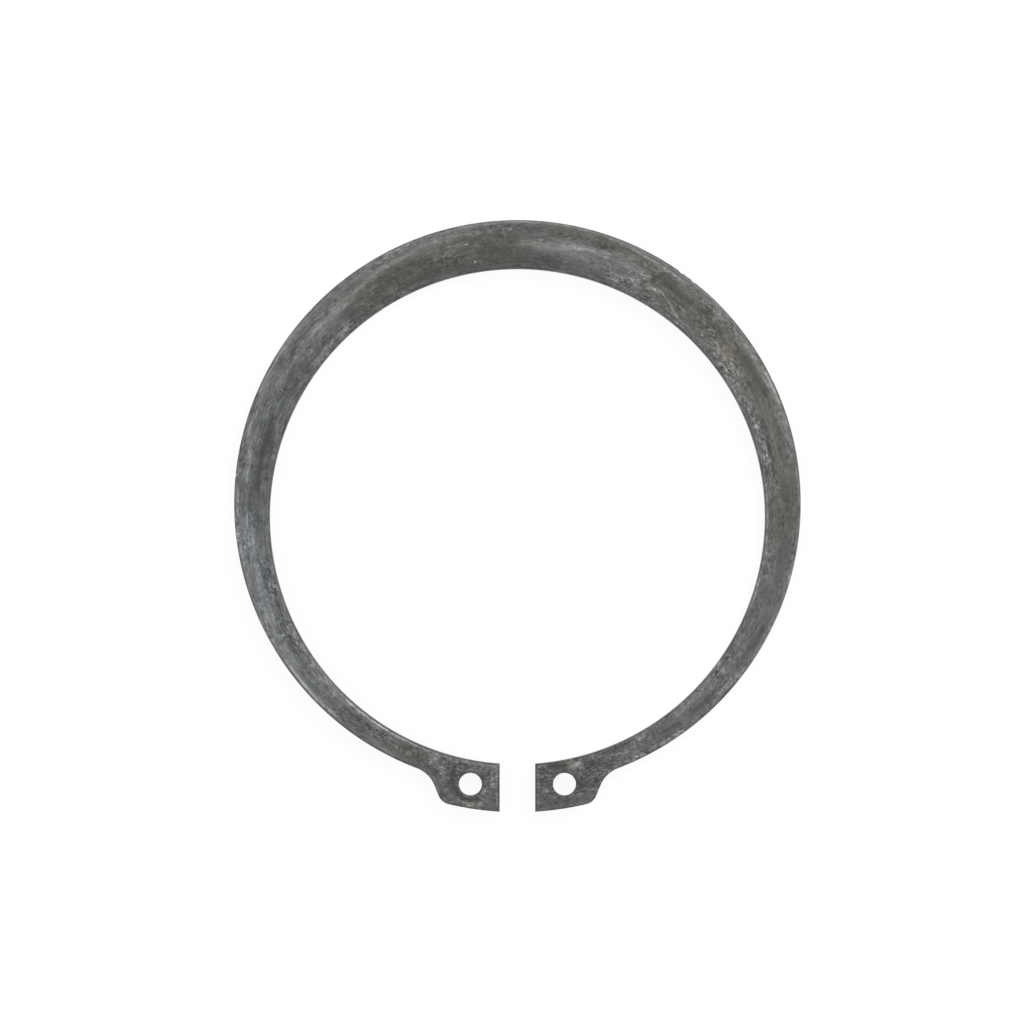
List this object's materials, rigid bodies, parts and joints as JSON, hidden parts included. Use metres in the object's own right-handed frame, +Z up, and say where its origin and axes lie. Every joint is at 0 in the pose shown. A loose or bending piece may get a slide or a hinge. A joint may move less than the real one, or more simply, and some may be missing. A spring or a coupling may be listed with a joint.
{
  "type": "external retaining ring",
  "caption": "Open flat spring-steel ring that snaps into a groove around a shaft, with a beam that tapers towards its gap and lugs with holes for pliers.",
  "frame": {"origin": "on the axis of the ring's inside edge, in the bottom face that it lies on", "axes": "+Z up along the axis, out of the top face; -Y from the axis towards the middle of the gap"},
  "size_m": [0.0908, 0.0949, 0.003],
  "materials": {
    "phosphated_steel": "dark grey phosphated spring steel, dull, scuffed and oily"
  },
  "bodies": {
    "root": {"retaining_ring": "phosphated_steel"}
  },
  "joints": []
}
